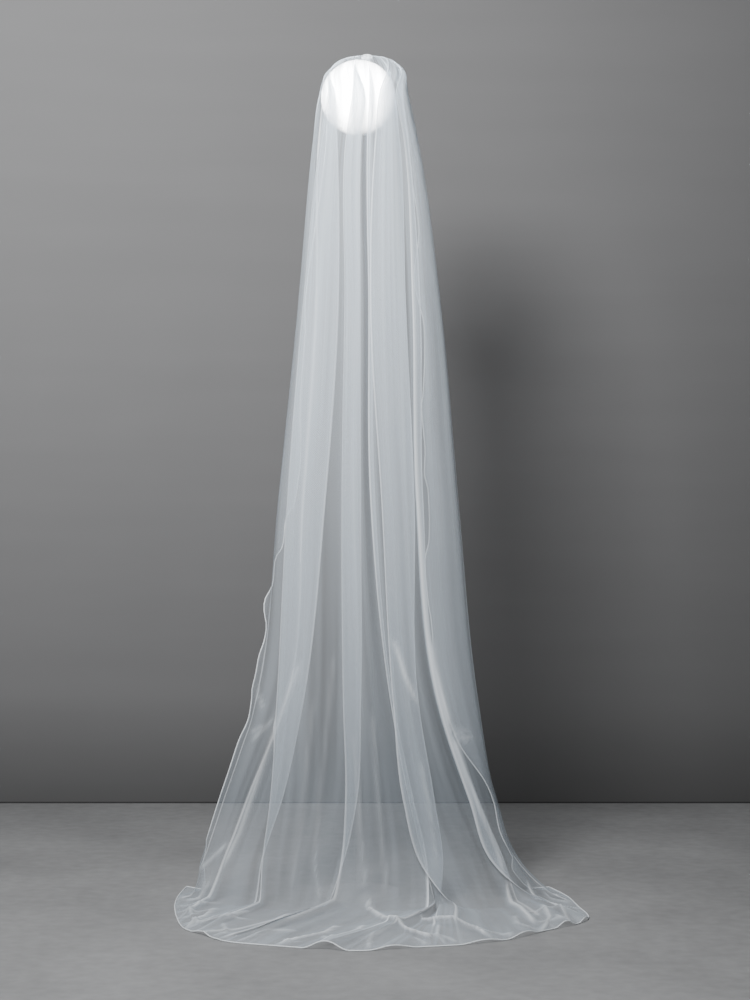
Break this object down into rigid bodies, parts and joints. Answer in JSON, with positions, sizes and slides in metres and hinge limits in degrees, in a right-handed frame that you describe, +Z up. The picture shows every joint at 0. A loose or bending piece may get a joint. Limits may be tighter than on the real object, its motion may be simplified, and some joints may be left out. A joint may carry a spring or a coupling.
{
  "type": "long bridal veil on a head form stand",
  "caption": "Sheer one-tier tulle veil with a fine cord edge, gathered at the crown over a plain ball on a slim clear stand, falling in soft pleats to a floor train.",
  "frame": {"origin": "centre of the foot plate's underside, on the floor", "axes": "+Z up along the pole, the train lies towards -Y, the veil's open side faces +Y"},
  "size_m": [0.853, 0.6169, 1.789],
  "materials": {
    "tulle": "sheer matte net",
    "edge_cord": "matte thread",
    "gathered_tulle": "matte",
    "form": "matte",
    "clear_stand": "clear acrylic"
  },
  "bodies": {
    "root": {"tulle_panel": "tulle", "pencil_edge": "edge_cord", "crown_gather": "gathered_tulle", "head_form": "form", "stand_pole": "clear_stand", "stand_foot": "clear_stand"}
  },
  "joints": []
}
